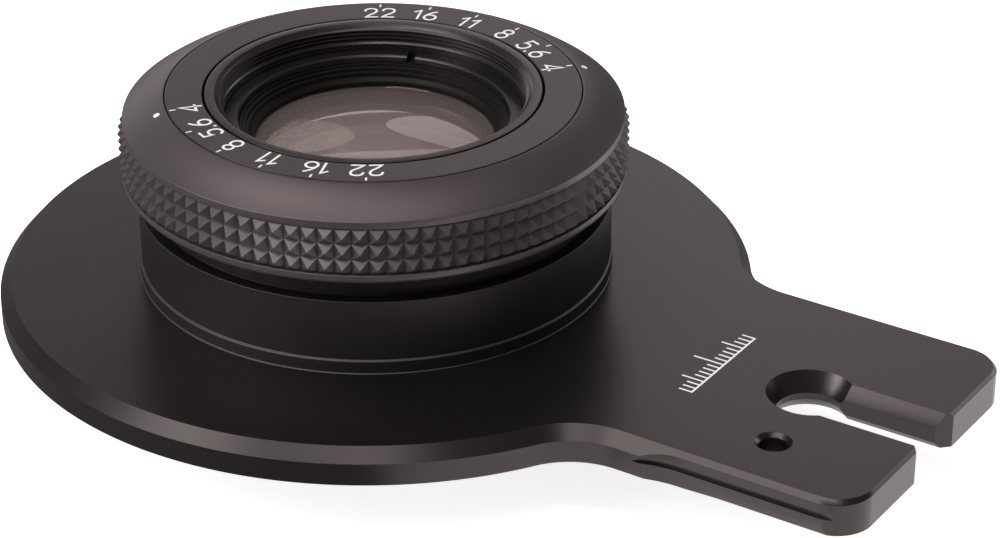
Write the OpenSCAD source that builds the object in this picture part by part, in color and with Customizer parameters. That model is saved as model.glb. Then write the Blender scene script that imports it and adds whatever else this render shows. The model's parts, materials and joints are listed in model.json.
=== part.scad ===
// Enlarging lens with a click-stopped aperture ring, clamped in a round camera board
// that carries a slotted tab.
// Millimetres. +Z is the optical axis, towards the front of the lens. The tab points
// to -Y. The origin is on the optical axis at the board's rear face.

/* [Board] */
// Radius of the round board
board_r = 50; // [47:0.5:54]
// Thickness of the board
board_t = 4.8; // [4.6:0.1:6]
// Width of the bevel round the board's front edge
board_bevel = 1.5; // [0.8:0.1:2]
// Distance from the optical axis to the end of the tab
tab_reach = 82.6; // [78:0.2:90]
// Width of the tab between its milled guide flats
tab_w = 42.6; // [40:0.2:46]
// Radius of the tab's two outer corners
tab_corner = 5; // [3:0.5:8]
// Radius of the concave neck between board and tab
neck_fillet = 10; // [6:0.5:12]

/* [Screw slot and pin hole] */
// Distance from the optical axis to the round end of the screw slot
slot_seat_y = 65.5; // [62:0.5:68]
// Width of the screw slot
slot_w = 7; // [6:0.1:7.5]
// Radius of the round end of the screw slot
seat_r = 4.25; // [3.8:0.05:4.6]
// Radius of the seat's countersink at the front face
seat_sink_r = 5.6; // [5.2:0.1:6.5]
// Radius of the locating pin hole
pin_hole_r = 1.8; // [1.2:0.1:2]

/* [Barrel] */
// Outer radius of the fixed barrel
barrel_r = 31.2; // [30.6:0.1:31.8]
// Height of the barrel's shoulder, which leaves a neck below the aperture ring
barrel_top = 15; // [13:0.1:17]
// Radius of the mounting thread, M39
mount_thread_r = 19.45; // [19.2:0.05:19.5]
// Radius of the front filter thread, M40.5
filter_thread_r = 20.2; // [20:0.05:20.4]
// Height of the lens front above the board's rear face
front_z = 29.7; // [29.5:0.1:30.2]
// Distance from the board's rear face back to the rear rim
rear_reach = 11; // [10.5:0.1:14]

/* [Aperture ring] */
// Largest radius of the aperture ring, over the points of the knurl
ring_r = 33.4; // [33:0.1:34]
// Depth of the knurl
knurl_depth = 1.0; // [0.5:0.1:1.2]
// Rows of knurl points up the ring
knurl_rows = 3; // [2:1:5]
// Turn of the ring from fully open to fully stopped down, in degrees
ring_turn = 75; // [60:5:75]
// Number of click stops, counting both ends
clicks = 6; // [4:1:6]

/* [Iris] */
// Number of iris blades
blade_count = 5; // [5:1:5]
// Radius of the fully open aperture
open_r = 11.9; // [11.5:0.1:12]
// Turn of each blade when fully stopped down, in degrees
blade_turn = 27.3; // [24:0.1:27.6]
// Radius of the circle of blade pivots
pivot_r = 21; // [20.8:0.1:21.2]

/* [Hidden] */
$fn = 96;
eps = 0.5;             // how far a cutter runs past the face it cuts
gap = 0.05;            // clearance of a hand-assembled or running fit

// Board
hole_r = mount_thread_r + gap;
bevel_h = 1.7;                                  // height of the board's bevel
tab_bevel = 0.6;                                // width of the bevel left on the tab
tab_bevel_h = tab_bevel * bevel_h / board_bevel;
tab_top_x = tab_w / 2 - tab_bevel;              // half width of the tab's front face
neck_x = tab_top_x + board_bevel;               // half width before the guide flats
flat_y = -59.2;                                 // where the flats reach full depth
flat_cutter_r = 15;                             // run-out of the flats
flat_rear_bevel = [0.25, 1.0];                  // rear bevel of the flats, width and height
end_bevel = 0.4;                                // bevel round the end of the tab
groove_z = [2.1, 2.95];                         // side groove, bottom and top
groove_depth = 0.5;
fillet_x = neck_x + neck_fillet;
fillet_y = -sqrt(pow(board_r + neck_fillet, 2) - pow(fillet_x, 2));
seat_sink_depth = 2.6;
seat_back = [0.95, 1.35];                       // rear countersink, width and depth
slot_bevel = [0.9, 2.0];                        // width and depth of the slot's front bevel
slot_back = [0.55, 0.8];                        // and of its rear bevel
slot_mouth = 1.6;                               // 45 degree corners of the slot's open end
pin_pos = [-12.85, -67.3];
pin_sink = 0.55;

// Barrel
foot_r = barrel_r + 0.3;
foot_h = 1.3;
foot_bevel_h = 0.3;
floor_z = 6.0;                                  // floor of the iris chamber
chamber_r = 27;
ring_seat_r = 29.5;                             // bearing that the ring turns on
ring_seat_top = 27.5;
neck_bore_r = 17;
neck_bottom = -5;
nut_r = 24.5;
nut_h = 3.8;                                    // how far the nut stands out of the board
nut_edge = 0.4;                                 // bevel of the nut's edges
nut_seat = 0.3;                                 // depth of the nut's seat in the board

// Aperture ring
ring_bottom = 18.65;
lip_top = 19.7;                                 // top of the smooth lip below the knurl
ring_flange_z = ring_seat_top + 0.1;            // underside of the inner flange
knurl_z = [19.45, 25.85];                       // knurled band; the lip cuts into it
cone_r = 32.75;                                 // foot of the ring's cone
cone_z = 26.85;
cone_bulge = 0.25;                              // how far the cone bulges outwards
ring_eye_r = 27.25;                             // inner edge next to the name ring
name_ring_r = ring_eye_r - 0.15;
drive_azimuth = 60;                             // where the drive screw sits, ring open
drive_z = 21.1;
drive_screw_r = 0.8;
dot_r = 0.45;
dot_ring_r = 28.5;                              // distance of the index dots from the axis
dot_azimuth = 138;
ball_r = 0.75;
ball_ring_r = 28.25;
ball_azimuth = 200;
ball_lift = 0.35;                               // travel of the ball into a notch
ball_z = ring_seat_top - ball_r;                // centre of the ball, flush with the seat
ball_hole_bottom = 22.35;
click_step = ring_turn / (clicks - 1);

// Iris
blade_t = 0.2;
blade_pitch = 0.25;
blade_z0 = 7.05;
base_top = 7.0;
drive_ring_z = [8.35, 9.25];
blade_outer_r = 19.6;
blade_from = -3;                                // the blade's band, first and last angle
blade_to = 120;
blade_pin_r = 0.5;
lever = 4.5;                                    // pivot to drive pin
ear_r = 1.3;
lever_ear_r = 1.0;
pinhole_r = blade_pin_r + gap;
blade_ratio = blade_turn / ring_turn;

// Glass: [front vertex z, front curvature, rear vertex z, rear curvature, edge radius].
// A curvature radius is positive where the centre lies behind the surface (towards -Z).
front_element_g = [24.6, 58, 19.6, 160, 16.65];
front_crown_g = [19.1, 36, 14.9, 110, 13.65];
front_flint_g = [14.9, 110, 12.6, 30, 13.65];
rear_flint_g = [2.95, -28, 1.0, -200, 13.0];
rear_crown_g = [1.0, -200, -4.2, -36, 13.0];
rear_element_g = [-4.7, 150, -8.8, -60, 14.5];

// ---- curves -------------------------------------------------------------

// Height of a spherical surface with vertex height v and curvature c, at radius r
function surface_z(v, c, r) = v - sign(c) * (abs(c) - sqrt(c * c - r * r));

// Points along that surface from radius a to radius b
function surface_points(v, c, a, b, n = 16) =
    [for (i = [0:n]) let (r = a + (b - a) * i / n) [r, surface_z(v, c, r)]];

// A point turned by t about the origin
function turned(p, t) = [p.x * cos(t) - p.y * sin(t), p.x * sin(t) + p.y * cos(t)];

// Points on an arc of radius r from angle a to angle b
function arc_points(r, a, b, n = 24) =
    [for (i = [0:n]) let (t = a + (b - a) * i / n) [r * cos(t), r * sin(t)]];

// Drive pin of the first blade when the ring has turned by phi, seen from the ring
function drive_path(phi) =
    let (t = phi * blade_ratio)
    turned([pivot_r + lever * sin(t), -lever * cos(t)], -phi);

// Outline of a slot of half width w along drive_path, with round ends
function path_dir(phi) = let (d = drive_path(phi + 0.5) - drive_path(phi - 0.5)) d / norm(d);
function side(d) = [-d.y, d.x];
function slot_end(phi, w, turn, n = 8) =
    let (d = path_dir(phi), c = drive_path(phi))
    [for (i = [1:n - 1]) c + w * turned(side(d), turn * 180 * i / n)];
function slot_outline(w, n = 30) =
    let (steps = [for (i = [0:n]) ring_turn * i / n])
    concat(
        [for (phi = steps) drive_path(phi) + w * side(path_dir(phi))],
        slot_end(ring_turn, w, -1),
        [for (i = [n:-1:0]) drive_path(steps[i]) - w * side(path_dir(steps[i]))],
        [for (p = slot_end(0, w, -1)) 2 * drive_path(0) - p]
    );

// Half profile of the aperture ring, counter-clockwise from its lower inner edge
row_h = (knurl_z[1] - knurl_z[0]) / knurl_rows;
lip_cut = (lip_top - knurl_z[0]) / (row_h / 2);  // part of the lowest flank behind the lip
ring_profile = concat(
    [[ring_seat_r + gap, ring_bottom], [cone_r + 0.15, ring_bottom],
     [cone_r + 0.35, ring_bottom + 0.25], [cone_r + 0.35, lip_top],
     [ring_r - knurl_depth * (1 - lip_cut), lip_top]],
    [for (i = [1:2 * knurl_rows])
        [ring_r - (i % 2 == 0 ? knurl_depth : 0), knurl_z[0] + row_h * i / 2]],
    [for (i = [0:8]) let (t = i / 8)
        [cone_r + (ring_eye_r - cone_r) * t + cone_bulge * 2 * t * (1 - t),
         cone_z + (front_z - cone_z) * t + cone_bulge * 3.5 * t * (1 - t)]],
    [[ring_eye_r, ring_flange_z], [ring_seat_r + gap, ring_flange_z]]
);

// ---- helpers ------------------------------------------------------------

module turned_part(points) {
    rotate_extrude($fn = 180) polygon(points);
}

module lens_element(g) {
    turned_part(concat(
        surface_points(g[2], g[3], 0, g[4]),
        [for (p = surface_points(g[0], g[1], g[4], 0)) p]
    ));
}

// A bar along Y from y0 to y1, with an outline drawn in X and Z
module bar_y(y0, y1, outline) {
    translate([0, y1, 0]) rotate([90, 0, 0]) linear_extrude(y1 - y0) polygon(outline);
}

// A bar along X from -x to x, with an outline drawn in Y and Z
module bar_x(x, outline) {
    translate([-x, 0, 0]) rotate([90, 0, 90]) linear_extrude(2 * x) polygon(outline);
}

function bevelled_box(x, bevel, height) =
    [[-x, 0], [x, 0], [x, board_t - height], [x - bevel, board_t], [-x + bevel, board_t],
     [-x, board_t - height]];

// ---- board --------------------------------------------------------------

module board_disc() {
    turned_part([[0, 0], [board_r, 0], [board_r, board_t - bevel_h],
                 [board_r - board_bevel, board_t], [0, board_t]]);
}

module tab_blank() {
    corner_x = tab_w / 2 - tab_corner;
    corner_y = -(tab_reach - tab_corner);
    bar_y(flat_y, -30, bevelled_box(neck_x, board_bevel, bevel_h));
    bar_y(corner_y, flat_y + 1, bevelled_box(tab_w / 2, tab_bevel, tab_bevel_h));
    bar_x(corner_x, [[corner_y + 2, 0], [corner_y + 2, board_t],
                     [-tab_reach + end_bevel, board_t], [-tab_reach, board_t - end_bevel],
                     [-tab_reach, 0]]);
    for (s = [-1, 1]) translate([s * corner_x, corner_y, 0])
        turned_part([[0, 0], [tab_corner, 0], [tab_corner, board_t - tab_bevel_h],
                     [tab_corner - tab_bevel, board_t], [0, board_t]]);
}

// Fills the corner between board and tab; the fillet is then cut out of it
module neck_web() {
    tangent = [fillet_x, fillet_y] * board_r / (board_r + neck_fillet);
    linear_extrude(board_t) polygon([
        [neck_x - 3, tangent.y + 6], tangent - [0.5, -0.8], tangent,
        [fillet_x, fillet_y], [neck_x, fillet_y], [neck_x - 3, fillet_y]]);
}

module neck_cutter() {
    over = eps * board_bevel / bevel_h;
    translate([fillet_x, fillet_y, 0]) {
        translate([0, 0, -eps]) cylinder(r = neck_fillet, h = board_t + 2 * eps);
        translate([0, 0, board_t - bevel_h])
            cylinder(r1 = neck_fillet, r2 = neck_fillet + board_bevel + over,
                     h = bevel_h + eps);
    }
}

// The milled flats along both sides of the tab, with a groove and a steep rear bevel
module guide_flats() {
    groove_x = tab_w / 2 - groove_depth;
    groove_h = groove_z[1] - groove_z[0];
    rear_x = tab_w / 2 - flat_rear_bevel[0] * (1 + eps / flat_rear_bevel[1]);
    for (s = [0, 1]) mirror([s, 0, 0]) {
        translate([tab_w / 2 + flat_cutter_r, flat_y, -eps])
            cylinder(r = flat_cutter_r, h = board_t + 2 * eps);
        translate([groove_x + flat_cutter_r, flat_y, groove_z[0]])
            cylinder(r = flat_cutter_r, h = groove_h);
        translate([groove_x, -tab_reach - eps, groove_z[0]])
            cube([4, tab_reach + eps + flat_y, groove_h]);
        bar_y(-tab_reach - eps, flat_y, [
            [rear_x, -eps], [tab_w / 2 + 1, -eps], [tab_w / 2 + 1, flat_rear_bevel[1]],
            [tab_w / 2, flat_rear_bevel[1]]]);
    }
}

module screw_slot() {
    half = slot_w / 2;
    sink_z = board_t - seat_sink_depth;
    bevel_z = board_t - slot_bevel[1];
    top_half = half + slot_bevel[0] * (1 + eps / slot_bevel[1]);
    back_half = half + slot_back[0] * (1 + eps / slot_back[1]);
    top_r = seat_r + (seat_sink_r - seat_r) * (1 + eps / seat_sink_depth);
    back_r = seat_r + seat_back[0] * (1 + eps / seat_back[1]);
    mouth = half + slot_mouth;
    translate([0, -slot_seat_y, 0]) {
        translate([0, 0, -eps]) cylinder(r = seat_r, h = board_t + 2 * eps);
        translate([0, 0, sink_z])
            cylinder(r1 = seat_r, r2 = top_r, h = seat_sink_depth + eps);
        translate([0, 0, -eps]) cylinder(r1 = back_r, r2 = seat_r, h = seat_back[1] + eps);
    }
    bar_y(-tab_reach - eps, -slot_seat_y, [
        [-back_half, -eps], [back_half, -eps], [half, slot_back[1]], [half, bevel_z],
        [top_half, board_t + eps], [-top_half, board_t + eps], [-half, bevel_z],
        [-half, slot_back[1]]]);
    translate([0, -tab_reach, -eps]) linear_extrude(board_t + 2 * eps) polygon([
        [-mouth - eps, -eps], [mouth + eps, -eps], [half, slot_mouth],
        [-half, slot_mouth]]);
}

module pin_hole() {
    translate([pin_pos.x, pin_pos.y, -eps]) cylinder(r = pin_hole_r, h = board_t + 2 * eps);
    translate([pin_pos.x, pin_pos.y, board_t - pin_sink])
        cylinder(r1 = pin_hole_r, r2 = pin_hole_r + pin_sink + eps, h = pin_sink + eps);
}

module lens_board() {
    color([0.17, 0.16, 0.16]) difference() {
        union() {
            board_disc();
            tab_blank();
            neck_web();
            mirror([1, 0, 0]) neck_web();
        }
        neck_cutter();
        mirror([1, 0, 0]) neck_cutter();
        guide_flats();
        screw_slot();
        pin_hole();
        translate([0, 0, -eps]) cylinder(r = hole_r, h = board_t + 2 * eps);
        // shallow seat of the jam nut, so that the rear face lies flat on a plate
        translate([0, 0, -eps]) cylinder(r = nut_r + 0.3, h = nut_seat + eps);
    }
}

// ---- fixed barrel -------------------------------------------------------

module barrel() {
    slot_h = drive_screw_r + gap;
    color([0.13, 0.13, 0.13]) difference() {
        turned_part([
            [neck_bore_r, neck_bottom], [mount_thread_r, neck_bottom],
            [mount_thread_r, board_t], [foot_r, board_t], [foot_r, board_t + foot_h],
            [barrel_r, board_t + foot_h + foot_bevel_h], [barrel_r, barrel_top],
            [ring_seat_r, barrel_top], [ring_seat_r, ring_seat_top],
            [chamber_r, ring_seat_top], [chamber_r, floor_z], [neck_bore_r, floor_z]]);
        // slot that the drive screw runs in
        rotate([0, 0, drive_azimuth]) rotate_extrude(angle = ring_turn, $fn = 180)
            translate([chamber_r - 1, drive_z - slot_h]) square([4, 2 * slot_h]);
        // relief holes drilled at both ends of the slot
        for (a = [0, ring_turn]) rotate([0, 0, drive_azimuth + a])
            translate([chamber_r - 1, 0, drive_z]) rotate([0, 90, 0])
                cylinder(r = slot_h + 0.1, h = 4, $fn = 32);
        // pocket of the click ball
        rotate([0, 0, ball_azimuth]) translate([ball_ring_r, 0, ball_hole_bottom])
            cylinder(r = ball_r + gap, h = 8, $fn = 32);
    }
}

module jam_nut() {
    color([0.2, 0.2, 0.2]) difference() {
        turned_part([
            [hole_r, -nut_h], [nut_r - nut_edge, -nut_h], [nut_r, -nut_h + nut_edge],
            [nut_r, nut_seat - nut_edge], [nut_r - nut_edge, nut_seat],
            [hole_r, nut_seat]]);
        for (a = [45:90:315]) rotate([0, 0, a])
            translate([mount_thread_r + 1.6, -1.5, -nut_h - eps]) cube([8, 3, 1.6 + eps]);
    }
}

module name_ring() {
    color([0.15, 0.15, 0.15]) turned_part([
        [20.1, 22.6], [chamber_r - gap, 22.6], [chamber_r - gap, 27.9],
        [name_ring_r, 27.9], [name_ring_r, front_z - 0.12], [name_ring_r - 0.12, front_z],
        [22.45, front_z], [22.3, front_z - 0.15], [22.3, 24.5], [20.1, 24.5]]);
}

// ---- front group --------------------------------------------------------

module front_cell() {
    thread_bottom = 27;
    color([0.1, 0.1, 0.1]) turned_part([
        [11.6, 9.8], [19.95, 9.8], [19.95, 24.55], [21.95, 24.55],
        [21.95, front_z - 0.2], [21.75, front_z],
        [filter_thread_r + 0.5, front_z], [filter_thread_r, front_z - 0.5],
        [filter_thread_r, thread_bottom], [19.5, thread_bottom], [19.5, 24.0],
        [16.7, 24.0], [16.7, 17.0], [13.7, 17.0], [13.7, 10.45], [11.6, 10.45]]);
}

module front_retaining_ring() {
    notch_azimuth = 18.8;
    color([0.12, 0.12, 0.12]) difference() {
        turned_part([
            [17.65, 24.55], [19.45, 24.55], [19.45, 26.1], [19.3, 26.25],
            [17.95, 26.25], [17.65, 25.95]]);
        for (a = [0, 180]) rotate([0, 0, notch_azimuth + a])
            translate([17, -0.6, 25.25]) cube([3, 1.2, 2]);
    }
}

// Stepped ring that bears on the rim of the front element
module front_baffle() {
    color([0.08, 0.08, 0.08]) turned_part([
        [15.75, 22.62], [16.65, 22.62], [16.65, 24.05], [19.4, 24.05], [19.4, 24.5],
        [17.6, 24.5], [17.6, 25.2], [17.25, 25.2], [17.25, 24.8], [16.85, 24.8],
        [16.85, 24.3], [16.4, 24.3], [16.4, 23.7], [16.0, 23.2], [15.75, 23.2]]);
}

module front_element() {
    color([0.6, 0.55, 0.6]) lens_element(front_element_g);
}

module front_spacer() {
    color([0.1, 0.1, 0.1]) turned_part([
        [13.0, 16.85], [13.6, 16.85], [13.6, 17.05], [16.65, 17.05], [16.65, 18.65],
        [14.6, 18.65], [13.0, 17.3]]);
}

module front_crown() {
    color([0.65, 0.7, 0.75]) lens_element(front_crown_g);
}

// The rear face is a concave cup inside a flat rim
module front_flint() {
    g = front_flint_g;
    cup_r = 11;
    rim_z = surface_z(g[2], g[3], cup_r);
    color([0.6, 0.65, 0.6]) turned_part(concat(
        surface_points(g[2], g[3], 0, cup_r), [[g[4], rim_z]],
        surface_points(g[0], g[1], g[4], 0)));
}

// ---- rear group ---------------------------------------------------------

// The front face is a concave cup inside a flat rim
module rear_flint() {
    g = rear_flint_g;
    cup_r = 11;
    rim_z = surface_z(g[0], g[1], cup_r);
    color([0.6, 0.65, 0.6]) turned_part(concat(
        surface_points(g[2], g[3], 0, g[4]), [[g[4], rim_z]],
        surface_points(g[0], g[1], cup_r, 0)));
}

module rear_crown() {
    color([0.65, 0.7, 0.75]) lens_element(rear_crown_g);
}

module rear_spacer() {
    color([0.1, 0.1, 0.1]) turned_part([
        [12.4, -5.15], [14.55, -5.15], [14.55, -2.2], [12.4, -2.2]]);
}

module rear_element() {
    color([0.6, 0.55, 0.6]) lens_element(rear_element_g);
}

module rear_cell() {
    flange_r = 19.3;
    top = 5.75;
    color([0.1, 0.1, 0.1]) turned_part([
        [16.35, -rear_reach], [flange_r - 0.4, -rear_reach],
        [flange_r, -rear_reach + 0.4], [flange_r, neck_bottom - gap],
        [neck_bore_r - gap, neck_bottom - gap], [neck_bore_r - gap, top], [11.4, top],
        [11.4, 5.25], [13.05, 5.25], [13.05, -2.0], [14.6, -2.0], [14.6, -7.45],
        [16.35, -7.45]]);
}

module rear_retaining_ring() {
    color([0.12, 0.12, 0.12]) difference() {
        turned_part([
            [13.4, -9.2], [16.3, -9.2], [16.3, -7.5], [13.4, -7.5]]);
        for (a = [0, 180]) rotate([0, 0, a])
            translate([14.6, -0.7, -9.2 - eps]) cube([3, 1.4, 0.8 + eps]);
    }
}

// ---- iris ---------------------------------------------------------------

module iris_base() {
    color([0.55, 0.5, 0.35]) difference() {
        turned_part([
            [12.3, floor_z], [chamber_r - gap, floor_z], [chamber_r - gap, 8.3],
            [25.3, 8.3], [25.3, base_top], [12.3, base_top]]);
        for (i = [0:blade_count - 1]) rotate([0, 0, i * 360 / blade_count])
            translate([pivot_r, 0, floor_z - eps]) cylinder(r = pinhole_r, h = 2, $fn = 32);
    }
}

module iris_blade(i) {
    z = blade_z0 + i * blade_pitch;
    mid_z = z + blade_t / 2;                    // pins start inside the leaf
    tip_r = (blade_outer_r - open_r) / 2;
    tip = (open_r + tip_r) * [cos(blade_to), sin(blade_to)];
    color([0.25, 0.25, 0.27]) rotate([0, 0, i * 360 / blade_count]) {
        translate([0, 0, z]) linear_extrude(blade_t) union() {
            polygon(concat(
                arc_points(open_r, blade_from, blade_to),
                [for (i = [1:11]) let (t = blade_to + 180 - 15 * i) tip + tip_r * [cos(t), sin(t)]],
                arc_points(blade_outer_r, blade_to, blade_from)));
            translate([pivot_r, 0]) circle(r = ear_r, $fn = 32);
            translate([pivot_r, -lever]) circle(r = lever_ear_r, $fn = 32);
            translate([18.5, -0.9]) square([pivot_r - 18.5, 1.8]);
            translate([pivot_r - 0.8, -lever]) square([1.6, lever]);
        }
        translate([pivot_r, 0, floor_z + 0.1])
            cylinder(r = blade_pin_r, h = mid_z - floor_z - 0.1, $fn = 32);
        translate([pivot_r, -lever, mid_z])
            cylinder(r = blade_pin_r, h = drive_ring_z[1] - 0.15 - mid_z, $fn = 32);
    }
}

module iris_drive_ring() {
    color([0.5, 0.5, 0.52]) difference() {
        turned_part([
            [13, drive_ring_z[0]], [chamber_r - gap, drive_ring_z[0]],
            [chamber_r - gap, drive_ring_z[1]], [13, drive_ring_z[1]]]);
        for (i = [0:blade_count - 1]) rotate([0, 0, i * 360 / blade_count])
            translate([0, 0, drive_ring_z[0] - eps]) linear_extrude(2)
                polygon(slot_outline(pinhole_r + 0.02));
    }
}

module iris_retainer() {
    bottom = drive_ring_z[1] + 0.1;
    color([0.35, 0.35, 0.37]) turned_part([
        [25.7, bottom], [chamber_r - gap, bottom], [chamber_r - gap, bottom + 0.8],
        [25.7, bottom + 0.8]]);
}

// ---- aperture ring and its drive ---------------------------------------

module ring_blank() {
    turned_part(ring_profile);
}

// Two pins, one for each of the two opposite scales
module dot_pins() {
    for (a = [0, 180]) rotate([0, 0, dot_azimuth + a]) translate([dot_ring_r, 0, 28.2])
        cylinder(r = dot_r, h = 3, $fn = 32);
}

module aperture_ring() {
    color([0.12, 0.12, 0.12]) difference() {
        ring_blank();
        dot_pins();
        rotate([0, 0, drive_azimuth]) translate([28, 0, drive_z]) rotate([0, 90, 0])
            cylinder(r = drive_screw_r, h = 8, $fn = 32);
        for (i = [0:clicks - 1]) rotate([0, 0, ball_azimuth - i * click_step])
            translate([ball_ring_r, 0, ball_z + ball_lift]) sphere(r = ball_r + gap, $fn = 48);
    }
}

module index_dots() {
    color("white") intersection() {
        ring_blank();
        dot_pins();
    }
}

// Lever that stands on the drive ring and takes the drive screw
module drive_arm() {
    arm_w = 5;
    color([0.6, 0.6, 0.62]) rotate([0, 0, drive_azimuth]) difference() {
        union() {
            translate([23, -arm_w / 2, drive_ring_z[1]])
                cube([2.2, arm_w, 22.3 - drive_ring_z[1]]);
            translate([23, -arm_w / 2, 19.5]) cube([3.5, arm_w, 2.8]);
        }
        translate([23.4, 0, drive_z]) rotate([0, 90, 0])
            cylinder(r = drive_screw_r, h = 6, $fn = 32);
    }
}

module drive_screw() {
    color([0.7, 0.7, 0.7]) rotate([0, 0, drive_azimuth]) difference() {
        translate([23.4, 0, drive_z]) rotate([0, 90, 0])
            cylinder(r = drive_screw_r, h = 7.8, $fn = 32);
        translate([31.2 - 0.5, -0.15, drive_z - 1]) cube([1, 0.3, 2]);
    }
}

module click_ball() {
    color("silver") rotate([0, 0, ball_azimuth]) translate([ball_ring_r, 0, ball_z])
        sphere(r = ball_r, $fn = 48);
}

// Compression spring under the ball, as one swept coil
module click_spring() {
    turns = 5;
    steps = 14;                       // sections in each turn
    sides = 6;
    wire_r = 0.11;
    coil_r = 0.55;
    bottom = ball_hole_bottom + wire_r + 0.02;
    top = ball_z - ball_r - wire_r - 0.04;
    count = turns * steps;
    rings = [for (i = [0:count]) let (a = 360 * i / steps, h = (top - bottom) * i / count)
        for (j = [0:sides - 1]) let (b = 360 * j / sides)
            [(coil_r + wire_r * cos(b)) * cos(a), (coil_r + wire_r * cos(b)) * sin(a),
             bottom + h + wire_r * sin(b)]];
    walls = [for (i = [0:count - 1], j = [0:sides - 1])
        let (k = (j + 1) % sides, a = i * sides, b = a + sides) [a + j, b + j, b + k, a + k]];
    color([0.8, 0.8, 0.8]) rotate([0, 0, ball_azimuth]) translate([ball_ring_r, 0, 0])
        polyhedron(rings, concat(walls, [
            [for (j = [0:sides - 1]) j],
            [for (j = [sides - 1:-1:0]) count * sides + j]]));
}

lens_board();
barrel();
jam_nut();
name_ring();
front_cell();
front_retaining_ring();
front_baffle();
front_element();
front_spacer();
front_crown();
front_flint();
rear_flint();
rear_crown();
rear_spacer();
rear_element();
rear_cell();
rear_retaining_ring();
iris_base();
iris_drive_ring();
iris_retainer();
iris_blade(0);  // iris_blade_1
iris_blade(1);  // iris_blade_2
iris_blade(2);  // iris_blade_3
iris_blade(3);  // iris_blade_4
iris_blade(4);  // iris_blade_5
aperture_ring();
drive_arm();
drive_screw();
index_dots();
click_ball();
click_spring();
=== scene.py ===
import json
import math

import bmesh
import bpy
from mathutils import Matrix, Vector


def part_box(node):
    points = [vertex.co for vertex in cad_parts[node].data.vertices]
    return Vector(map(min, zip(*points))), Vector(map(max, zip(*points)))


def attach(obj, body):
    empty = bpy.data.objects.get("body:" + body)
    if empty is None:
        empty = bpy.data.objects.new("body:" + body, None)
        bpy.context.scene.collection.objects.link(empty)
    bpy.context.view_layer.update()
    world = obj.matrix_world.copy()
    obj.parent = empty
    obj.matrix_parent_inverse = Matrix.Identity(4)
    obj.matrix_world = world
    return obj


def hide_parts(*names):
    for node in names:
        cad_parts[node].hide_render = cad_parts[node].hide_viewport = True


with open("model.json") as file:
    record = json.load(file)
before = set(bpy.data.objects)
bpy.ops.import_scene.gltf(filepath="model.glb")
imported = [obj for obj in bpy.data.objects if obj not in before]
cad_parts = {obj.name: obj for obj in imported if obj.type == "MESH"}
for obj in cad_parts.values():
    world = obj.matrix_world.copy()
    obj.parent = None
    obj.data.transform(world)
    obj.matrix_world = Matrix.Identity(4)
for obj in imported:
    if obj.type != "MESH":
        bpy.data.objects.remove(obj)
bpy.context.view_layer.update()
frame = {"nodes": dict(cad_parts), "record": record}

MM = 0.001
TAU = 2 * math.pi

# ---- driving sizes, in millimetres --------------------------------------------------

BOARD_LOW, BOARD_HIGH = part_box("lens_board")
BOARD_T = BOARD_HIGH.z / MM                     # thickness of the board
BOARD_R = BOARD_HIGH.y / MM - 0.01              # the round board just inside the CAD box
TAB_REACH = -BOARD_LOW.y / MM                   # from the optical axis to the tab's end
FRONT_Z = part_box("name_ring")[1].z / MM         # front plane of the lens
REAR_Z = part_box("rear_cell")[0].z / MM          # rear rim, on which the lens stands
BOARD_BEVEL, BOARD_BEVEL_H = 1.5, 1.7
NECK_X = 22.2                                   # half width of the tab at the neck
NECK_FILLET = 10.0
TAB_X = 21.3                                    # half width between the guide flats
FLAT_Y, FLAT_CUTTER = -59.2, 15.0               # where the flats reach full depth
SLOT_SEAT_Y = -65.5
SLOT_X = 3.5                                    # half width of the slot
PIN_XY = (-12.85, -67.3)
BARREL_R = 31.2
SHOULDER_Z = 15.0                               # above it the barrel's neck
BARREL_NECK_R = 29.5
RING_R = 33.4
KNURL_Z = (19.45, 25.85)
LIP_Z = (18.65, 19.7)                           # smooth lip below the knurl
KNURL_TEETH = 96
KNURL_ROWS = 3
KNURL_DEPTH = 1.0
TOOTH = (0, 0.46, 0.54)                         # valley and both sides of the flat top
CONE_FOOT = (32.75, 26.85)
CONE_EYE_R = 27.25
THREAD_R = 20.2
DOT_AZIMUTH = 138.0
BALL = (28.25, 200.0, 0.75)                     # click ball: distance, azimuth, radius
SCALE = ("4", "5.6", "8", "11", "16", "22")
CLICK_STEP = 15.0
SCREW_R, SCREW_Z, SCREW_AZIMUTH = 0.85, 21.1, 60
BOARD_BORE_R = 19.5
NUT_R, NUT_SEAT_R, NUT_SEAT_DEPTH = 24.5, 24.8, 0.3
SAME_POINT, SLIVER = 1e-7, 1e-8                 # in metres, for mending meshes

# ---- camera -------------------------------------------------------------------------

CAMERA_ELEVATION = math.radians(28.28)
CAMERA_AZIMUTH = math.radians(-56.96)           # 0 looks along +Y
CAMERA_DISTANCE = 432.8
CAMERA_SIDE, CAMERA_UP = 16.42, 2.56            # its shift off the line to the origin
CAMERA_LENS = 116.0


def make_camera():
    cam = bpy.data.objects.new("camera", bpy.data.cameras.new("camera"))
    bpy.context.scene.collection.objects.link(cam)
    a, e = CAMERA_AZIMUTH, CAMERA_ELEVATION
    right = Vector((math.cos(a), math.sin(a), 0))
    look = Vector((-math.sin(a) * math.cos(e), math.cos(a) * math.cos(e), -math.sin(e)))
    up = right.cross(look)
    place = right * CAMERA_SIDE + up * CAMERA_UP - look * CAMERA_DISTANCE
    cam.location = place * MM
    cam.rotation_mode = "QUATERNION"
    cam.rotation_quaternion = look.to_track_quat("-Z", "Y")
    cam.data.lens = CAMERA_LENS
    cam.data.sensor_width = 36
    cam.data.clip_start, cam.data.clip_end = 0.01, 10
    bpy.context.scene.camera = cam


# ---- material helpers ---------------------------------------------------------------


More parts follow.
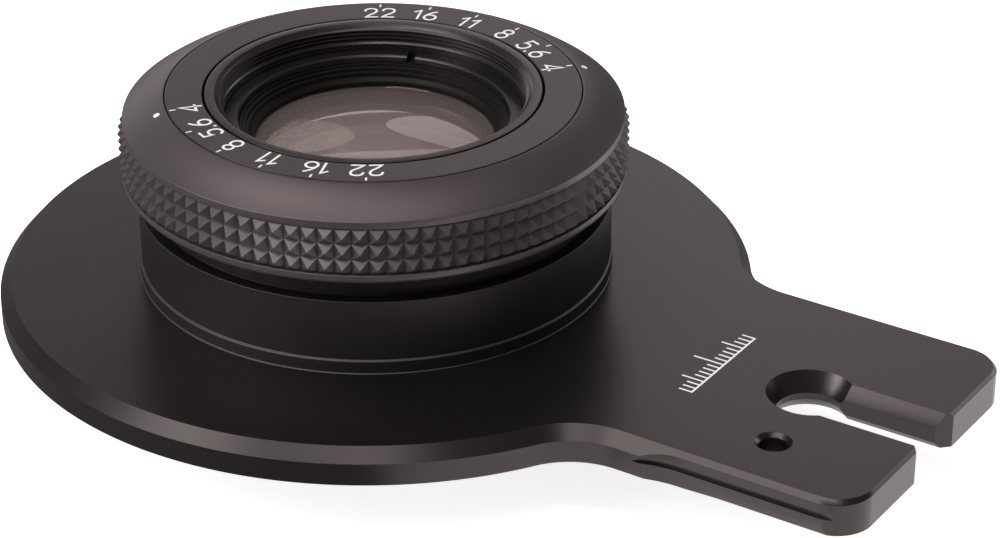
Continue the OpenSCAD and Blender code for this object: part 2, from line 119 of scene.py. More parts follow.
class Nodes:
    """A few short words for building a material's nodes."""

    def __init__(self, name):
        self.mat = bpy.data.materials.new(name)
        self.mat.use_nodes = True
        self.tree = self.mat.node_tree
        self.bsdf = self.tree.nodes["Principled BSDF"]

    def add(self, kind, **settings):
        node = self.tree.nodes.new("ShaderNode" + kind)
        for key, value in settings.items():
            setattr(node, key, value)
        return node

    def link(self, a, b):
        self.tree.links.new(a, b)

    def value(self, socket, number):
        self.bsdf.inputs[socket].default_value = number

    def position(self):
        return self.add("TexCoord").outputs["Object"]

    def noise(self, scale, detail=3.0, vector=None, rough=0.55):
        node = self.add("TexNoise")
        node.inputs["Scale"].default_value = scale
        node.inputs["Detail"].default_value = detail
        node.inputs["Roughness"].default_value = rough
        self.link(vector or self.position(), node.inputs["Vector"])
        return node.outputs["Fac"]

    def turned_vector(self):
        """Radius and height in place of x, y, z: a noise on it makes lathe rings."""
        split = self.add("SeparateXYZ")
        self.link(self.position(), split.inputs[0])
        flat = self.add("CombineXYZ")
        self.link(split.outputs["X"], flat.inputs["X"])
        self.link(split.outputs["Y"], flat.inputs["Y"])
        length = self.add("VectorMath", operation="LENGTH")
        self.link(flat.outputs[0], length.inputs[0])
        out = self.add("CombineXYZ")
        self.link(length.outputs["Value"], out.inputs["X"])
        self.link(split.outputs["Z"], out.inputs["Y"])
        return out.outputs[0]

    def spread(self, fac, low, high):
        """Maps a 0.3 to 0.7 noise to low to high."""
        node = self.add("MapRange")
        node.inputs["From Min"].default_value = 0.3
        node.inputs["From Max"].default_value = 0.7
        node.inputs["To Min"].default_value = low
        node.inputs["To Max"].default_value = high
        self.link(fac, node.inputs["Value"])
        return node.outputs["Result"]

    def blend(self, fac, low, high):
        ramp = self.add("ValToRGB")
        ramp.color_ramp.elements[0].position = 0.3
        ramp.color_ramp.elements[1].position = 0.7
        ramp.color_ramp.elements[0].color = (*low, 1)
        ramp.color_ramp.elements[1].color = (*high, 1)
        self.link(fac, ramp.inputs["Fac"])
        return ramp.outputs["Color"]

    def bump(self, fac, height_mm, strength=1.0, under=None):
        node = self.add("Bump")
        node.inputs["Distance"].default_value = height_mm * MM
        node.inputs["Strength"].default_value = strength
        self.link(fac, node.inputs["Height"])
        if under:
            self.link(under, node.inputs["Normal"])
        return node.outputs["Normal"]


ROSY = (1.0, 0.84, 0.84, 1)                     # the faint tint of black dye in reflections


def scaled(colour, k):
    return tuple(min(1.0, c * k) for c in colour)


def anodised(name, colour, rough, grain=1.0, turned=0.0, specular=0.5):
    """Black anodised aluminium: a dyed, slightly uneven layer on blasted or turned metal.
    On turned metal the fine cutter marks spread each reflection across themselves."""
    m = Nodes(name)
    cloud = m.noise(60, 4)
    m.link(m.blend(cloud, scaled(colour, 0.85), scaled(colour, 1.2)),
           m.bsdf.inputs["Base Color"])
    fine = m.noise(9000, 2)
    m.link(m.spread(fine, rough - 0.03, rough + 0.05), m.bsdf.inputs["Roughness"])
    m.value("Specular IOR Level", specular)
    m.value("Specular Tint", ROSY)
    normal = m.bump(m.noise(7000, 2), 0.004 * grain, 0.6)
    if turned:
        rings = m.noise(5200, 2, m.turned_vector(), 0.7)
        normal = m.bump(rings, 0.003, 0.5, normal)
        m.value("Anisotropic", turned)
        around_axis = m.add("Tangent", direction_type="RADIAL", axis="Z")
        m.link(around_axis.outputs[0], m.bsdf.inputs["Tangent"])
    m.link(normal, m.bsdf.inputs["Normal"])
    return m.mat


def matt_black(name):
    """Anti-reflection paint inside the lens; on the barrel's neck the same black is painted
    shade for the recess under the aperture ring.
    """
    m = Nodes(name)
    m.value("Specular IOR Level", 0.2)
    m.value("Specular Tint", ROSY)
    m.link(m.blend(m.noise(900, 3), (0.0028, 0.0025, 0.0025), (0.007, 0.006, 0.006)),
           m.bsdf.inputs["Base Color"])
    m.link(m.spread(m.noise(3000), 0.45, 0.62), m.bsdf.inputs["Roughness"])
    m.link(m.bump(m.noise(6000), 0.006, 0.6), m.bsdf.inputs["Normal"])
    return m.mat


def metal(name, colour, rough, turned=1.0):
    """Bare turned or stamped metal."""
    m = Nodes(name)
    streak = m.noise(2600, 3, m.turned_vector(), 0.7)
    m.link(m.blend(streak, scaled(colour, 0.8), scaled(colour, 1.15)),
           m.bsdf.inputs["Base Color"])
    m.value("Metallic", 1.0)
    m.link(m.spread(m.noise(400), rough - 0.05, rough + 0.08), m.bsdf.inputs["Roughness"])
    m.link(m.bump(streak, 0.002 * turned, 0.6), m.bsdf.inputs["Normal"])
    return m.mat


def blade_leaf(name):
    """Blackened spring steel with a faint rolling grain."""
    m = Nodes(name)
    grain = m.add("Mapping")
    grain.inputs["Scale"].default_value = (1, 9, 1)
    m.link(m.position(), grain.inputs["Vector"])
    streak = m.noise(900, 3, grain.outputs[0])
    m.link(m.blend(streak, (0.018, 0.018, 0.02), (0.05, 0.05, 0.055)),
           m.bsdf.inputs["Base Color"])
    m.value("Metallic", 0.6)
    m.link(m.spread(streak, 0.32, 0.45), m.bsdf.inputs["Roughness"])
    m.link(m.bump(streak, 0.002, 0.5), m.bsdf.inputs["Normal"])
    return m.mat


def glass(name, tint, ior, sheen_tint, clear, shine):
    """Polished glass; the coating tints its reflections and may leave a faint bloom."""
    m = Nodes(name)
    m.link(m.blend(m.noise(40), scaled(tint, 0.97), tint), m.bsdf.inputs["Base Color"])
    m.value("Transmission Weight", clear)
    m.value("IOR", ior)
    m.value("Specular Tint", (*sheen_tint, 1))
    m.value("Specular IOR Level", shine)
    m.link(m.spread(m.noise(700), 0.0, 0.012), m.bsdf.inputs["Roughness"])
    return m.mat


def paint(name, colour):
    """Filled engraving: slightly uneven matt enamel."""
    m = Nodes(name)
    m.link(m.blend(m.noise(2500), scaled(colour, 0.93), colour),
           m.bsdf.inputs["Base Color"])
    m.link(m.spread(m.noise(4000), 0.45, 0.6), m.bsdf.inputs["Roughness"])
    m.link(m.bump(m.noise(5000), 0.004, 0.5), m.bsdf.inputs["Normal"])
    return m.mat


def make_materials():
    """One material for each of the record's slots."""
    finishes = {
        "anodised_board": (anodised, dict(colour=(0.005, 0.0042, 0.0042), rough=0.3)),
        "anodised_barrel": (anodised, dict(colour=(0.007, 0.006, 0.006), rough=0.46,
                                           grain=0.5, turned=0.7, specular=0.6)),
        "anodised_ring": (anodised, dict(colour=(0.026, 0.023, 0.0235), rough=0.38,
                                         grain=0.7, turned=0.3, specular=0.7)),
        "anodised_face": (anodised, dict(colour=(0.022, 0.019, 0.019), rough=0.36,
                                         grain=0.8, turned=0.2, specular=0.42)),
        "anodised_cell": (anodised, dict(colour=(0.008, 0.0072, 0.0072), rough=0.28,
                                         grain=0.4, turned=0.4)),
        "anodised_satin": (anodised, dict(colour=(0.008, 0.007, 0.007), rough=0.35,
                                          grain=0.8, turned=0.4)),
        "matt_black": (matt_black, dict()),
        "coated_glass": (glass, dict(tint=(0.7, 0.6, 0.57), ior=1.62, clear=0.87,
                                     sheen_tint=(1.0, 0.86, 0.83), shine=0.45)),
        "crown_glass": (glass, dict(tint=(0.6, 0.56, 0.54), ior=1.55, clear=1.0,
                                    sheen_tint=(1.0, 0.85, 0.85), shine=0.07)),
        "flint_glass": (glass, dict(tint=(0.6, 0.56, 0.54), ior=1.67, clear=1.0,
                                    sheen_tint=(1.0, 0.88, 0.8), shine=0.07)),
        "brass_plate": (metal, dict(colour=(0.3, 0.23, 0.11), rough=0.35)),
        "turned_steel": (metal, dict(colour=(0.35, 0.35, 0.36), rough=0.3)),
        "blade_steel": (blade_leaf, dict()),
        "bearing_steel": (metal, dict(colour=(0.6, 0.6, 0.6), rough=0.15, turned=0.2)),
        "white_paint": (paint, dict(colour=(0.8, 0.8, 0.78))),
    }
    return {name: make(name, **look) for name, (make, look) in finishes.items()}


# ---- mesh helpers -------------------------------------------------------------------


def mesh_object(name, verts, faces):
    """A mesh from millimetre points."""
    mesh = bpy.data.meshes.new(name)
    mesh.from_pydata([[c * MM for c in v] for v in verts], [], faces)
    mesh.update()
    obj = bpy.data.objects.new(name, mesh)
    bpy.context.scene.collection.objects.link(obj)
    return obj


def tidy(obj):
    """Merges doubled points and turns all faces outwards."""
    bm = bmesh.new()
    bm.from_mesh(obj.data)
    bmesh.ops.remove_doubles(bm, verts=bm.verts, dist=SAME_POINT)
    bmesh.ops.dissolve_degenerate(bm, edges=bm.edges, dist=SLIVER)
    bmesh.ops.recalc_face_normals(bm, faces=bm.faces)
    bm.to_mesh(obj.data)
    bm.free()


def use_modifiers(obj):
    """Replaces the mesh by what its modifiers make of it."""
    graph = bpy.context.evaluated_depsgraph_get()
    mesh = bpy.data.meshes.new_from_object(obj.evaluated_get(graph), depsgraph=graph)
    obj.modifiers.clear()
    obj.data = mesh


def smooth(obj, angle=35):
    """Smooth shading up to that angle, with flat faces kept flat."""
    obj.data.polygons.foreach_set("use_smooth", [True] * len(obj.data.polygons))
    obj.data.set_sharp_from_angle(angle=math.radians(angle))
    mod = obj.modifiers.new("flat faces stay flat", "WEIGHTED_NORMAL")
    mod.keep_sharp = True
    use_modifiers(obj)


def rounded(points, radius, steps=3):
    """The closed outline with each corner rounded, as far as its sides allow."""
    out = []
    count = len(points)
    for i, p in enumerate(points):
        here = Vector(p)
        before = Vector(points[i - 1]) - here
        after = Vector(points[(i + 1) % count]) - here
        angle = before.angle(after, math.pi)
        if math.degrees(angle) > 172:
            out.append(tuple(here))
            continue
        cut = min(radius / math.tan(angle / 2), before.length * 0.45, after.length * 0.45)
        start = here + before.normalized() * cut
        end = here + after.normalized() * cut
        for k in range(steps + 1):
            t = k / steps
            out.append(tuple((1 - t) ** 2 * start + 2 * t * (1 - t) * here + t * t * end))
    return out


def lathe(name, outline, steps=256):
    """Turns a closed outline of (radius, height) points round the optical axis."""
    count = len(outline)
    verts = []
    for i in range(steps):
        a = TAU * i / steps
        verts += [(r * math.cos(a), r * math.sin(a), z) for r, z in outline]
    faces = []
    for i in range(steps):
        j = (i + 1) % steps
        for k in range(count):
            m = (k + 1) % count
            faces.append((i * count + k, i * count + m, j * count + m, j * count + k))
    obj = mesh_object(name, verts, faces)
    tidy(obj)
    return obj


def prism(name, outline, low, high):
    """A straight prism over an outline in X and Y."""
    count = len(outline)
    verts = [(x, y, z) for z in (low, high) for x, y in outline]
    faces = [tuple(range(count))[::-1], tuple(range(count, 2 * count))]
    for k in range(count):
        m = (k + 1) % count
        faces.append((k, m, count + m, count + k))
    obj = mesh_object(name, verts, faces)
    tidy(obj)
    return obj


def bar_along_y(name, section, y0, y1):
    """A straight bar along Y with a section in X and Z."""
    count = len(section)
    verts = [(x, y, z) for y in (y0, y1) for x, z in section]
    faces = [tuple(range(count)), tuple(range(count, 2 * count))[::-1]]
    for k in range(count):
        m = (k + 1) % count
        faces.append((k, count + k, count + m, m))
    obj = mesh_object(name, verts, faces)
    tidy(obj)
    return obj


def box_object(name, low, high):
    (x0, y0, z0), (x1, y1, z1) = low, high
    return prism(name, [(x0, y0), (x1, y0), (x1, y1), (x0, y1)], z0, z1)


def placed(obj, x=0.0, y=0.0, z=0.0, turn=0.0):
    """Moves the mesh itself, so that the object stays at the origin."""
    a = math.radians(turn)
    for v in obj.data.vertices:
        px, py, pz = v.co
        v.co = (px * math.cos(a) - py * math.sin(a) + x * MM,
                px * math.sin(a) + py * math.cos(a) + y * MM, pz + z * MM)
    return obj


def polar(reach, azimuth):
    """X and Y of a point at that distance and azimuth from the optical axis."""
    a = math.radians(azimuth)
    return reach * math.cos(a), reach * math.sin(a)


def carve(obj, *cutters, operation="DIFFERENCE"):
    """Applies each cutter in turn and deletes it."""
    for cutter in cutters:
        mod = obj.modifiers.new("cut", "BOOLEAN")
        mod.operation = operation
        mod.solver = "EXACT"
        mod.object = cutter
        use_modifiers(obj)
        bpy.data.objects.remove(cutter)
    return obj


def cut_notches(obj, turns, low, high):
    """Cuts the same box out at each turn about the optical axis."""
    for turn in turns:
        carve(obj, placed(box_object("notch", low, high), turn=turn))


def soften_edges(obj, width, angle, steps=2):
    """A small bevel on every edge sharper than the angle."""
    mod = obj.modifiers.new("edge", "BEVEL")
    mod.width = width * MM
    mod.segments = steps
    mod.limit_method = "ANGLE"
    mod.angle_limit = math.radians(angle)
    mod.use_clamp_overlap = True
    use_modifiers(obj)
    return obj


def finish_piece(obj, material, body, slot, *nodes):
    """Gives the piece its material and body, and hides the CAD nodes it stands for. The
    slot is not used.
    """
    obj.data.materials.clear()
    obj.data.materials.append(material)
    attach(obj, body)
    if nodes:
        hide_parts(*nodes)
    return obj


def arc(cx, cy, r, a0, a1, steps):
    """Points on an arc, angles in degrees."""
    out = []
    for i in range(steps + 1):
        a = math.radians(a0 + (a1 - a0) * i / steps)
        out.append((cx + r * math.cos(a), cy + r * math.sin(a)))
    return out


# ---- lens board ---------------------------------------------------------------------


def board_outline(inset):
    """Outline of board and tab, before the guide flats, moved inwards by the inset."""
    fx = NECK_X + NECK_FILLET
    fy = -math.sqrt((BOARD_R + NECK_FILLET) ** 2 - fx ** 2)
    lean = math.degrees(math.atan2(-fy, fx))
    f = NECK_FILLET + inset
    end = TAB_REACH + 1.1                       # the end is milled back afterwards
    corner = 6.1
    cx, cy = NECK_X - corner, -end + corner
    return (
        arc(0, 0, BOARD_R - inset, -lean, 180 + lean, 280)
        + arc(-fx, fy, f, lean, 0, 20)
        + arc(-cx, cy, corner - inset, 180, 270, 14)
        + arc(cx, cy, corner - inset, 270, 360, 14)
        + arc(fx, fy, f, 180, 180 - lean, 20)
    )


def envelope_outline():
    """What the milling leaves of the tab: straight guide flats with round run-outs."""
    corner = 5.0
    rise = math.degrees(math.acos(1 - 1.4 / FLAT_CUTTER))
    right = arc(TAB_X + FLAT_CUTTER, FLAT_Y, FLAT_CUTTER, 180 - rise, 180, 16)
    right += arc(TAB_X - corner, -TAB_REACH + corner, corner, 0, -90, 14)
    left = [(-x, y) for x, y in reversed(right)]
    return [(70, 70), (70, FLAT_Y + 9)] + right + left + [(-70, FLAT_Y + 9), (-70, 70)]


def slot_section():
    """Section of the screw slot: bevelled in front and at the back."""
    deep, wide, back, back_deep = 2.0, 0.9, 0.55, 0.8
    over = 1.0
    top = SLOT_X + wide * (1 + over / deep)
    low = SLOT_X + back * (1 + over / back_deep)
    return [(-low, -over), (low, -over), (SLOT_X, back_deep), (SLOT_X, BOARD_T - deep),
            (top, BOARD_T + over), (-top, BOARD_T + over), (-SLOT_X, BOARD_T - deep),
            (-SLOT_X, back_deep)]


def slot_mouth():
    """The 45 degree corners at the slot's open end."""
    wide, over = 1.6, 1.0
    end = SLOT_X + wide + over
    return prism("mouth", [(-end, -TAB_REACH - over), (end, -TAB_REACH - over),
                           (SLOT_X, -TAB_REACH + wide), (-SLOT_X, -TAB_REACH + wide)],
                 -1, BOARD_T + 1)


def drill(name, radius, low, high, steps):
    """A plain cylinder, to be cut away."""
    return lathe(name, [(0, low), (radius, low), (radius, high), (0, high)], steps)


def sink_cutter(name, hole_r, top_r, depth, back=0.0, back_depth=1.0):
    """Drill with a countersink in front and an optional one at the back."""
    over = 1.0
    slope = (top_r - hole_r) / depth
    points = [(0, -over), (hole_r + back * (1 + over / back_depth), -over)]
    if back:
        points.append((hole_r, back_depth))
    points += [(hole_r, BOARD_T - depth), (top_r + slope * over, BOARD_T + over),
               (0, BOARD_T + over)]
    return lathe(name, points, 128)


def side_groove(side):
    """Groove along one guide flat, with the cutter's round run-out."""
    low, high, deep = 2.1, 2.95, 0.5
    x = TAB_X - deep
    outline = arc(x + FLAT_CUTTER, FLAT_Y, FLAT_CUTTER, 140, 180, 24)
    outline += [(x, -TAB_REACH - 1), (x + 8, -TAB_REACH - 1)]
    if side < 0:
        outline = [(-px, py) for px, py in reversed(outline)]
    return prism("groove", outline, low, high)


def rear_flat_bevel(side):
    """The steep bevel along a guide flat's rear edge, and its gentle run-out."""
    wide, high, over, run_out = 0.25, 1.0, 1.0, 5.0
    section = [(TAB_X - wide * (1 + over / high), -over), (TAB_X + 3, -over),
               (TAB_X + 3, high), (TAB_X, high)]
    if side < 0:
        section = [(-x, z) for x, z in reversed(section)]
    full = bar_along_y("bevel", section, -TAB_REACH - 1, FLAT_Y - run_out)
    taper = bar_along_y("taper", section, FLAT_Y - run_out - 0.5, FLAT_Y)
    for v in taper.data.vertices:
        if v.co.y > (FLAT_Y - 0.1) * MM:
            v.co.x += side * (wide + 0.02) * MM
        else:
            v.co.y += 0.5 * MM
    return full, taper


def make_board(mats):
    levels = [(0.0, 0.2), (0.2, 0.0), (BOARD_T - BOARD_BEVEL_H, 0.0),
              (BOARD_T, BOARD_BEVEL)]
    loops = [board_outline(inset) for z, inset in levels]
    count = len(loops[0])
    verts = [(x, y, z) for (z, inset), loop in zip(levels, loops) for x, y in loop]
    last = len(levels) - 1
    faces = [tuple(range(count))[::-1], tuple(range(last * count, (last + 1) * count))]
    for n in range(last):
        for k in range(count):
            m = (k + 1) % count
            faces.append((n * count + k, n * count + m, (n + 1) * count + m,
                          (n + 1) * count + k))
    board = mesh_object("board", verts, faces)
    tidy(board)
    carve(board, prism("envelope", envelope_outline(), -1, BOARD_T + 1),
          operation="INTERSECT")
    seat = placed(sink_cutter("seat", hole_r=4.25, top_r=5.6, depth=2.6, back=0.95,
                              back_depth=1.35), y=SLOT_SEAT_Y)
    pin = placed(sink_cutter("pin", hole_r=1.8, top_r=2.35, depth=0.55), *PIN_XY)
    slot = bar_along_y("slot", slot_section(), -TAB_REACH - 1, SLOT_SEAT_Y)
    bore = drill("bore", BOARD_BORE_R, -1, BOARD_T + 1, 96)
    nut_seat = drill("nut seat", NUT_SEAT_R, -1, NUT_SEAT_DEPTH, 96)
    carve(board, side_groove(1), side_groove(-1), *rear_flat_bevel(1), *rear_flat_bevel(-1),
          slot, slot_mouth(), seat, pin, bore, nut_seat)
    tidy(board)
    soften_edges(board, 0.1, 18)
    smooth(board, 16)
    finish_piece(board, mats["anodised_board"], "lens_body", "anodised_board", "lens_board")


# ---- turned metal parts -------------------------------------------------------------


def make_barrel(mats):
    ledge, foot = BARREL_R + 0.3, BARREL_R + 0.18       # a fine ledge runs round the foot
    outline = rounded([
        (17.0, -5.0), (19.45, -5.0), (19.45, BOARD_T), (ledge, BOARD_T),
        (ledge, BOARD_T + 0.06), (foot, BOARD_T + 0.18), (foot, BOARD_T + 1.75),
        (BARREL_R - 0.06, BOARD_T + 2.0), (BARREL_R, BOARD_T + 2.2), (BARREL_R, SHOULDER_Z),
        (BARREL_NECK_R, SHOULDER_Z), (BARREL_NECK_R, 27.5), (27.0, 27.5), (27.0, 6.0),
        (17.0, 6.0)], 0.08)
    barrel = lathe("fixed_barrel", outline, 320)
    a0, a1 = SCREW_AZIMUTH - 1.8, SCREW_AZIMUTH + 76.8
    screw_slot = prism("arc", arc(0, 0, 26, a0, a1, 60) + arc(0, 0, 30, a1, a0, 60),
                       SCREW_Z - SCREW_R, SCREW_Z + SCREW_R)
    reach, azimuth, size = BALL
    pocket = drill("pocket", size + 0.05, 22.35, 30, 48)
    carve(barrel, screw_slot, placed(pocket, *polar(reach, azimuth)))
    smooth(barrel)
    finish_piece(barrel, mats["anodised_barrel"], "lens_body", "anodised_barrel", "barrel")
    # matt black as painted shade on the neck, darkening the recess under the aperture ring
    barrel.data.materials.append(mats["matt_black"])
    for face in barrel.data.polygons:
        x, y, z = face.center / MM
        if z > SHOULDER_Z - 0.05 and math.hypot(x, y) < BARREL_R - 0.15:
            face.material_index = 1         # painted shade on the neck in the recess under the aperture ring; matt paint in the bore above the shoulder


def make_name_ring(mats):
    z = FRONT_Z - 0.02
    outline = rounded([
        (20.1, 22.6), (26.95, 22.6), (26.95, 27.9), (27.1, 27.9), (27.1, z), (22.3, z),
        (22.3, 24.5), (20.1, 24.5)], 0.1)
    ring = lathe("name_ring_plate", outline, 320)
    smooth(ring)
    finish_piece(ring, mats["anodised_face"], "lens_body", "anodised_face", "name_ring")


def thread_points(radius, low, high, pitch, depth):
    """Zigzag of a fine inside thread, from high to low."""
    turns = round((high - low) / pitch)
    step = (high - low) / turns
    points = []
    for i in range(turns):
        top = high - i * step
        points += [(radius, top - 0.06), (radius - depth, top - step / 2 + 0.04),
                   (radius - depth, top - step / 2 - 0.04)]
    return points


def make_front_cell(mats):
    z = FRONT_Z - 0.02
    outline = rounded([(11.6, 9.8), (19.95, 9.8), (19.95, 24.55), (21.95, 24.55),
                       (21.95, z), (20.75, z), (20.3, z - 0.45)], 0.09)
    outline += thread_points(THREAD_R, 27.0, z - 0.5, 0.5, 0.27)
    outline += [(19.75, 27.0), (19.75, 26.6), (19.5, 26.6), (19.5, 24.0), (16.7, 24.0),
                (16.7, 17.0), (13.7, 17.0), (13.7, 10.45), (11.6, 10.45)]
    cell = lathe("front_cell_tube", outline, 320)
    smooth(cell)
    finish_piece(cell, mats["anodised_cell"], "lens_body", "anodised_cell", "front_cell")


def make_retaining_ring(mats):
    outline = rounded([(17.65, 24.55), (19.45, 24.55), (19.45, 26.25), (17.9, 26.25),
                       (17.65, 26.0)], 0.08)
    ring = lathe("front_lock_ring", outline, 256)
    cut_notches(ring, (18.8, 198.8), (17, -0.55, 25.25), (20, 0.55, 27))
    soften_edges(ring, 0.03, 40)
    smooth(ring)
    finish_piece(ring, mats["anodised_cell"], "lens_body", "matt_black",
                 "front_retaining_ring")


def make_baffle(mats):
    outline = rounded([
        (15.75, 22.62), (16.65, 22.62), (16.65, 24.05), (19.4, 24.05), (19.4, 24.5),
        (17.6, 24.5), (17.6, 25.2), (17.25, 25.2), (17.25, 24.8), (16.85, 24.8),
        (16.85, 24.3), (16.4, 24.3), (16.4, 23.7), (16.0, 23.2), (15.75, 23.2)], 0.05)
    baffle = lathe("stepped_baffle", outline, 256)
    smooth(baffle)
    finish_piece(baffle, mats["matt_black"], "lens_body", "matt_black", "front_baffle")


def make_jam_nut(mats):
    low, high = -3.8, NUT_SEAT_DEPTH
    outline = rounded([(BOARD_BORE_R, low), (NUT_R, low), (NUT_R, high),
                       (BOARD_BORE_R, high)], 0.35)
    nut = lathe("board_jam_nut", outline, 256)
    cut_notches(nut, (45, 135, 225, 315), (21.05, -1.5, -6), (27, 1.5, -2.2))
    soften_edges(nut, 0.1, 40)
    smooth(nut)
    finish_piece(nut, mats["anodised_satin"], "lens_body", "anodised_satin", "jam_nut")


def make_rear_cell(mats):
    outline = rounded([
        (16.35, REAR_Z), (19.3, REAR_Z), (19.3, -5.05), (16.95, -5.05), (16.95, 5.75),
        (11.4, 5.75), (11.4, 5.25), (13.05, 5.25), (13.05, -2.0), (14.6, -2.0),
        (14.6, -7.45), (16.35, -7.45)], 0.15)
    cell = lathe("rear_cell_tube", outline, 256)
    smooth(cell)
    finish_piece(cell, mats["anodised_cell"], "lens_body", "anodised_cell", "rear_cell")


def make_rear_lock_ring(mats):
    outline = rounded([(13.4, -9.2), (16.3, -9.2), (16.3, -7.5), (13.4, -7.5)], 0.12)
    ring = lathe("rear_lock_ring", outline, 256)
    cut_notches(ring, (0, 180), (14.6, -0.7, -10), (17, 0.7, -8.4))
    smooth(ring)
    finish_piece(ring, mats["matt_black"], "lens_body", "matt_black", "rear_retaining_ring")


# ---- glass --------------------------------------------------------------------------


def cap(vertex, curve, r0, r1, steps=40):
    """Points on a spherical surface. A positive curve has its centre behind the surface."""
    out = []
    for i in range(steps + 1):
        r = r0 + (r1 - r0) * i / steps
        sag = abs(curve) - math.sqrt(curve * curve - r * r)
        out.append((r, vertex - math.copysign(sag, curve)))
    return out


def make_element(mats, name, node, slot, front, rear, radius, front_cup=0.0, rear_cup=0.0):
    """front and rear are (vertex height, curvature); a cup is ringed by a flat rim."""
    back = cap(*rear, 0, rear_cup or radius)
    face = cap(*front, front_cup or radius, 0)
    if rear_cup:
        back.append((radius, back[-1][1]))
    if front_cup:
        face.insert(0, (radius, face[0][1]))
    piece = lathe(name, back + face, 192)
    smooth(piece, 30)
    finish_piece(piece, mats[slot], "lens_body", slot, node)


def make_glass(mats):
    make_element(mats, "front_meniscus", "front_element", "coated_glass",
                 (24.6, 58), (19.6, 160), 16.65)
    make_element(mats, "front_crown_lens", "front_crown", "crown_glass",
                 (19.1, 36), (14.93, 110), 13.65)
    make_element(mats, "front_flint_lens", "front_flint", "flint_glass",
                 (14.9, 110), (12.6, 30), 13.65, rear_cup=11)
    make_element(mats, "rear_flint_lens", "rear_flint", "flint_glass",
                 (2.95, -28), (1.03, -200), 13.0, front_cup=11)
    make_element(mats, "rear_crown_lens", "rear_crown", "crown_glass",
                 (1.0, -200), (-4.2, -36), 13.0)
    make_element(mats, "rear_meniscus", "rear_element", "coated_glass",
                 (-4.7, 150), (-8.8, -60), 14.5)


# ---- aperture ring ------------------------------------------------------------------


def cone_points(steps=14):
    """The slightly convex flank, from its foot to the inner edge."""
    (r0, z0), (r1, z1) = CONE_FOOT, (CONE_EYE_R, FRONT_Z - 0.03)
    bulge = 0.25
    out = []
    for i in range(steps + 1):
        t = i / steps
        swell = bulge * t * (1 - t)
        out.append((r0 + (r1 - r0) * t + 2 * swell, z0 + (z1 - z0) * t + 3.5 * swell))
    return out


def ring_columns():
    """Angles of the mesh columns: valley, and both sides of each tooth's small flat top."""
    pitch = TAU / KNURL_TEETH
    return [(pitch * (i + f), f > 0) for i in range(KNURL_TEETH) for f in TOOTH]


def make_aperture_ring(mats):
    valley = RING_R - KNURL_DEPTH
    below = rounded([(29.55, 27.62), (29.55, LIP_Z[0]), (32.95, LIP_Z[0]),
                     (33.1, LIP_Z[0] + 0.3), (33.1, LIP_Z[1]), (valley, LIP_Z[1])], 0.12)
    below = below[4:-4]
    row = (KNURL_Z[1] - KNURL_Z[0]) / KNURL_ROWS
    knurl = [(KNURL_Z[0] + row * (i + f), f > 0) for i in range(KNURL_ROWS)
             for f in TOOTH] + [(KNURL_Z[1], 0)]
    knurl[0] = (LIP_Z[1], (LIP_Z[1] - KNURL_Z[0]) / (TOOTH[1] * row))   # cut by the lip
    above = rounded([(valley, 25.88), (CONE_FOOT[0], 25.92)] + cone_points()
                    + [(CONE_EYE_R, 27.6), (29.55, 27.6)], 0.1)
    above = above[4:]
    profile = ([(r, z, 0) for r, z in below] + [(valley, z, up) for z, up in knurl]
               + [(r, z, 0) for r, z in above])
    columns = ring_columns()
    count = len(profile)
    verts = []
    for a, high_column in columns:
        for r, z, up in profile:
            radius = r + up * KNURL_DEPTH if high_column else r
            verts.append((radius * math.cos(a), radius * math.sin(a), z))
    faces = []
    for i in range(len(columns)):
        j = (i + 1) % len(columns)
        for k in range(count):
            m = (k + 1) % count
            quad = [i * count + k, j * count + k, j * count + m, i * count + m]
            tops = [columns[c][1] and profile[p][2] == 1
                    for c, p in ((i, k), (j, k), (j, m), (i, m))]
            if tops.count(True) == 1:           # corner of a pyramid: fold along its ridge
                t = tops.index(True)
                quad = quad[t:] + quad[:t]
                faces += [(quad[0], quad[1], quad[2]), (quad[0], quad[2], quad[3])]
            else:
                faces.append(tuple(quad))
    ring = mesh_object("knurled_ring", verts, faces)
    tidy(ring)
    screw = drill("screw", SCREW_R, 28, 36, 32)
    for v in screw.data.vertices:
        x, y, z = v.co
        v.co = (z, y, -x + SCREW_Z * MM)
    reach, azimuth, size = BALL
    notches = [placed(lathe("notch", arc(0, 27.1, size + 0.05, -90, 90, 16), 32),
                      *polar(reach, azimuth - i * CLICK_STEP)) for i in range(len(SCALE))]
    carve(ring, placed(screw, turn=SCREW_AZIMUTH), *notches)
    smooth(ring, 20)
    finish_piece(ring, mats["anodised_ring"], "aperture_drive", "anodised_ring",
                 "aperture_ring")


def make_index_dots(mats):
    """Two small convex enamel dots on the cone, one for each scale."""
    points = cone_points(60)
    r, z = min(points, key=lambda p: abs(p[0] - 28.5))
    r2, z2 = min(points, key=lambda p: abs(p[0] - 28.1))
    slope = math.atan2(z2 - z, r - r2)
    rings = [(0.45, -0.3), (0.45, 0.02), (0.36, 0.05), (0.2, 0.065)]    # radius and lift
    sides = 32
    verts, faces = [], []
    for turn in (0, 180):
        base = len(verts)
        place = math.radians(DOT_AZIMUTH + turn)
        for size, lift in rings:
            for i in range(sides):
                a = TAU * i / sides
                u, v = size * math.cos(a), size * math.sin(a)
                out = r + u * math.cos(slope) + lift * math.sin(slope)
                up = z - u * math.sin(slope) + lift * math.cos(slope)
                verts.append((out * math.cos(place) - v * math.sin(place),
                              out * math.sin(place) + v * math.cos(place), up))
        top = base + sides * (len(rings) - 1)
        for low in range(base, top, sides):
            for i in range(sides):
                a, b = low + i, low + (i + 1) % sides
                faces.append((a, b, b + sides, a + sides))
        faces.append(tuple(reversed(range(base, base + sides))))
        faces.append(tuple(range(top, top + sides)))
    dots = mesh_object("index_marks", verts, faces)
    tidy(dots)
    smooth(dots, 50)
    finish_piece(dots, mats["white_paint"], "aperture_drive", "white_paint", "index_dots")


# ---- markings -----------------------------------------------------------------------


